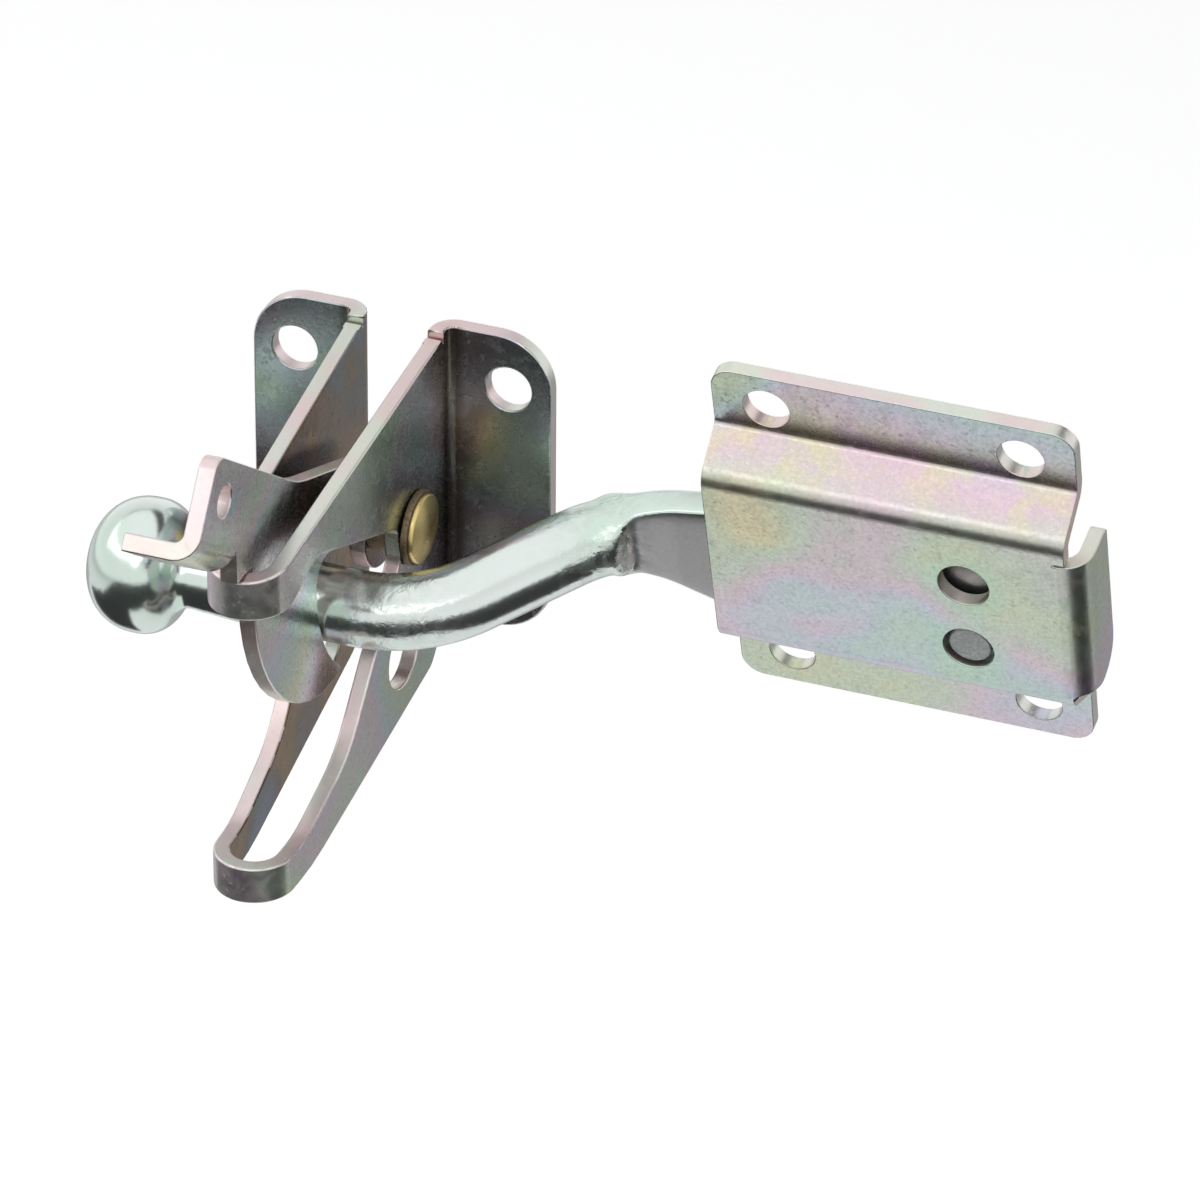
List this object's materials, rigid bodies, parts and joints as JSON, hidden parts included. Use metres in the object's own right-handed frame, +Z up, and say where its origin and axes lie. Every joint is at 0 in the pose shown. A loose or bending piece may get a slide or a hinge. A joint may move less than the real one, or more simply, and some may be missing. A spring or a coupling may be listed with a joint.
{
  "type": "automatic gate latch",
  "caption": "Zinc plated gravity gate latch: bent strip body with a lifting pawl on a rivet, and a knobbed strike bar that swings in a hat shaped cover plate.",
  "frame": {"origin": "middle of the post flanges' screw holes, on the face of the post", "axes": "+X along the strike bar towards the gate, +Y into the post, +Z up"},
  "size_m": [0.1645, 0.0984, 0.087],
  "materials": {
    "zinc_sheet": "satin",
    "zinc_bar": "polished",
    "brass": "satin",
    "bush": "satin"
  },
  "bodies": {
    "post_latch": {"latch_body": "zinc_sheet", "pivot_rivet": "brass", "pivot_washer": "zinc_sheet", "bush_left": "bush", "bush_right": "bush"},
    "pawl": {"pawl": "zinc_sheet"},
    "strike": {"strike_bar": "zinc_bar", "strike_stud": "zinc_bar"},
    "cover": {"cover_plate": "zinc_sheet"}
  },
  "joints": [
    {"name": "pawl_lift", "type": "hinge", "parent": "post_latch", "child": "pawl", "pos_m": [0, -0.0177, -0.0015], "axis": [-1, 0, 0], "range_deg": [0, 60]},
    {"name": "bar_roll", "type": "hinge", "parent": "post_latch", "child": "strike", "pos_m": [0, -0.0342, -0.0086], "axis": [1, 0, 0], "range_deg": [-16, 20]},
    {"name": "cover_pivot", "type": "hinge", "parent": "strike", "child": "cover", "pos_m": [0.102, -0.00777, -0.00716], "axis": [0, -0.9613, -0.2756], "range_deg": [0, 8]}
  ]
}
